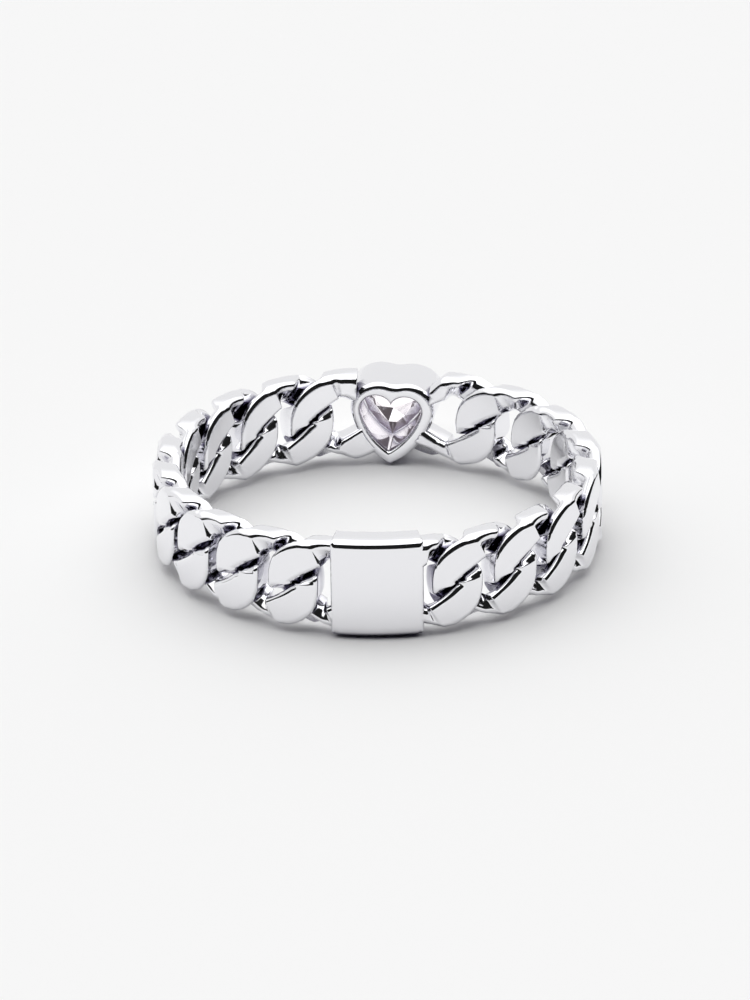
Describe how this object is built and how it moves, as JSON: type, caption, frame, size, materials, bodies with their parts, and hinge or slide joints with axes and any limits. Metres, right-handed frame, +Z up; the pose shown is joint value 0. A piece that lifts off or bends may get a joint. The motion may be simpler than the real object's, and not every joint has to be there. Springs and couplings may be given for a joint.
{
  "type": "chain link ring",
  "caption": "Finger ring of flattened interlocking curb links with a plain curved plate at one side and a heart-shaped bezel holding a clear stone at the other.",
  "frame": {"origin": "the ring's own axis at the mid height of its links", "axes": "+Z up along the ring's axis as it lies on its side, -Y towards the plain plate, +Y towards the heart"},
  "size_m": [0.0196, 0.0212, 0.0045],
  "materials": {
    "silver": "polished sterling silver",
    "stone": "faceted clear cubic zirconia"
  },
  "bodies": {
    "root": {"back_plate": "silver", "heart_setting": "silver", "heart_stone": "stone", "link_r1": "silver", "link_r2": "silver", "link_r3": "silver", "link_r4": "silver", "link_r5": "silver", "link_r6": "silver", "link_r7": "silver", "link_l1": "silver", "link_l2": "silver", "link_l3": "silver", "link_l4": "silver", "link_l5": "silver", "link_l6": "silver", "link_l7": "silver", "link_l8": "silver"}
  },
  "joints": []
}
